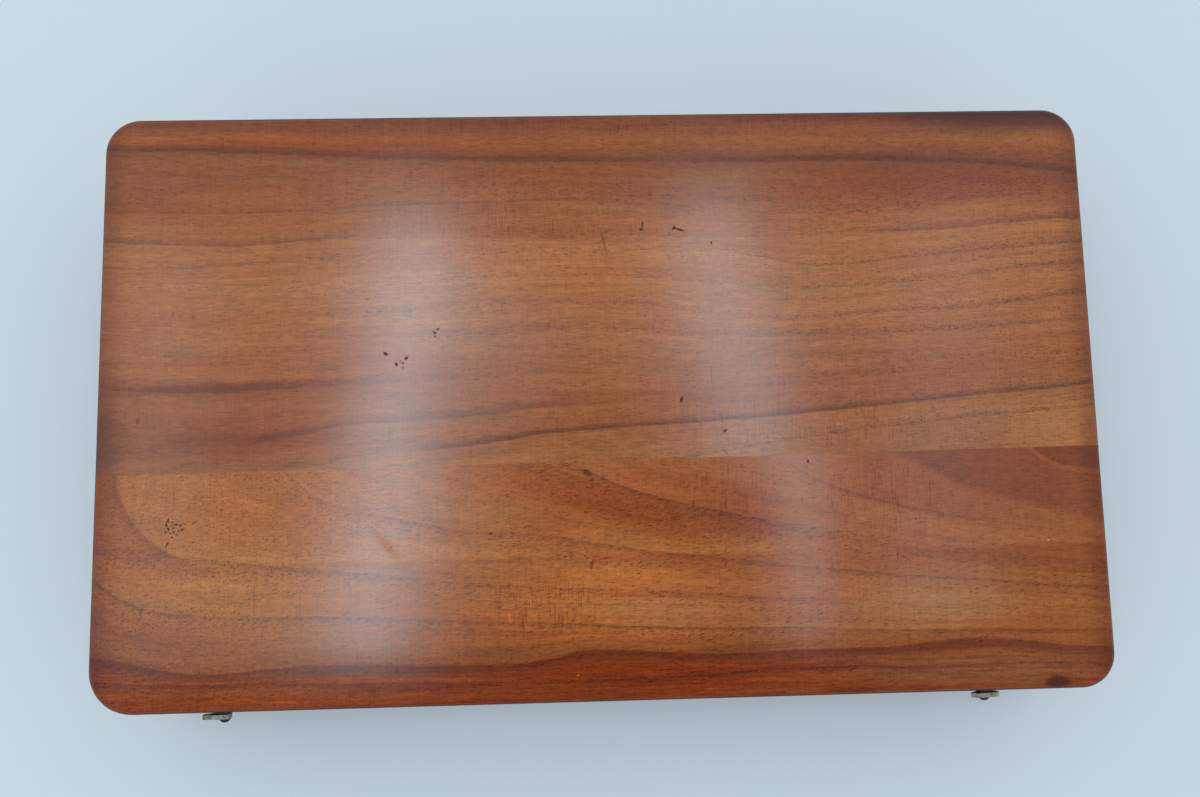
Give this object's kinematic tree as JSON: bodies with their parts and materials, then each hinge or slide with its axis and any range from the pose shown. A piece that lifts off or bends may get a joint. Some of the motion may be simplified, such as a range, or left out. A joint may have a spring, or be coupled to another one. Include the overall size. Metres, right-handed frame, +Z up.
{
  "type": "hinged wooden puzzle box",
  "caption": "Shallow hinged wooden box with rounded corners, an edge-glued lid, brass swing hooks at the front and a flat dissection puzzle inside.",
  "frame": {"origin": "centre of the underside, on the surface that the box stands on", "axes": "+X along the length to the right, +Y from the hooks to the hinges, +Z up"},
  "size_m": [0.305, 0.1873, 0.0444],
  "materials": {
    "lid_wood": "semi-gloss varnish",
    "case_wood": "semi-gloss varnish",
    "panel_wood": "thin oil",
    "puzzle_dark_wood": "satin oil",
    "puzzle_red_wood": "satin oil",
    "puzzle_pale_wood": "satin oil",
    "aged_brass": "tarnished",
    "screw_brass": "dark tarnished",
    "brad_steel": "dull"
  },
  "bodies": {
    "base": {"base_front_wall": "case_wood", "puzzle_rail_front": "panel_wood", "base_back_wall": "case_wood", "puzzle_rail_back": "panel_wood", "base_left_wall": "case_wood", "puzzle_rail_left": "panel_wood", "base_right_wall": "case_wood", "puzzle_rail_right": "panel_wood", "bottom_panel": "panel_wood", "bottom_brads": "brad_steel", "left_hinge_base_leaf": "aged_brass", "left_hinge_pin": "aged_brass", "left_catch_screw": "screw_brass", "right_hinge_base_leaf": "aged_brass", "right_hinge_pin": "aged_brass", "right_catch_screw": "screw_brass", "hinge_base_screws": "screw_brass"},
    "lid": {"lid_back_board": "lid_wood", "lid_front_board": "lid_wood", "left_hinge_lid_leaf": "aged_brass", "right_hinge_lid_leaf": "aged_brass", "hinge_lid_screws": "screw_brass", "left_hook_screw": "screw_brass", "right_hook_screw": "screw_brass", "left_hook_washer": "aged_brass", "right_hook_washer": "aged_brass"},
    "left_hook": {"left_hook": "aged_brass"},
    "right_hook": {"right_hook": "aged_brass"},
    "large_triangle_front": {"puzzle_large_triangle_front": "puzzle_dark_wood"},
    "large_triangle_back": {"puzzle_large_triangle_back": "puzzle_red_wood"},
    "medium_triangle": {"puzzle_medium_triangle": "puzzle_pale_wood"},
    "small_triangle_right": {"puzzle_small_triangle_right": "puzzle_dark_wood"},
    "small_triangle_back": {"puzzle_small_triangle_back": "puzzle_pale_wood"},
    "square": {"puzzle_square": "puzzle_red_wood"},
    "parallelogram": {"puzzle_parallelogram": "puzzle_dark_wood"}
  },
  "joints": [
    {"name": "lid_swing", "type": "hinge", "parent": "base", "child": "lid", "pos_m": [0, 0.0919, 0.0322], "axis": [-1, 0, 0], "range_deg": [0, 180]},
    {"name": "left_hook_turn", "type": "hinge", "parent": "lid", "child": "left_hook", "pos_m": [-0.1137, -0.0915, 0.0409], "axis": [0, -1, 0], "range_deg": [-62, 28]},
    {"name": "right_hook_turn", "type": "hinge", "parent": "lid", "child": "right_hook", "pos_m": [0.113, -0.0915, 0.0409], "axis": [0, -1, 0], "range_deg": [-28, 62]},
    {"name": "large_triangle_front_lift", "type": "slide", "parent": "base", "child": "large_triangle_front", "axis": [0, 0, 1], "range_m": [0, 0.015]},
    {"name": "large_triangle_back_lift", "type": "slide", "parent": "base", "child": "large_triangle_back", "axis": [0, 0, 1], "range_m": [0, 0.015]},
    {"name": "medium_triangle_lift", "type": "slide", "parent": "base", "child": "medium_triangle", "axis": [0, 0, 1], "range_m": [0, 0.015]},
    {"name": "small_triangle_right_lift", "type": "slide", "parent": "base", "child": "small_triangle_right", "axis": [0, 0, 1], "range_m": [0, 0.015]},
    {"name": "small_triangle_back_lift", "type": "slide", "parent": "base", "child": "small_triangle_back", "axis": [0, 0, 1], "range_m": [0, 0.015]},
    {"name": "square_lift", "type": "slide", "parent": "base", "child": "square", "axis": [0, 0, 1], "range_m": [0, 0.015]},
    {"name": "parallelogram_lift", "type": "slide", "parent": "base", "child": "parallelogram", "axis": [0, 0, 1], "range_m": [0, 0.015]}
  ]
}
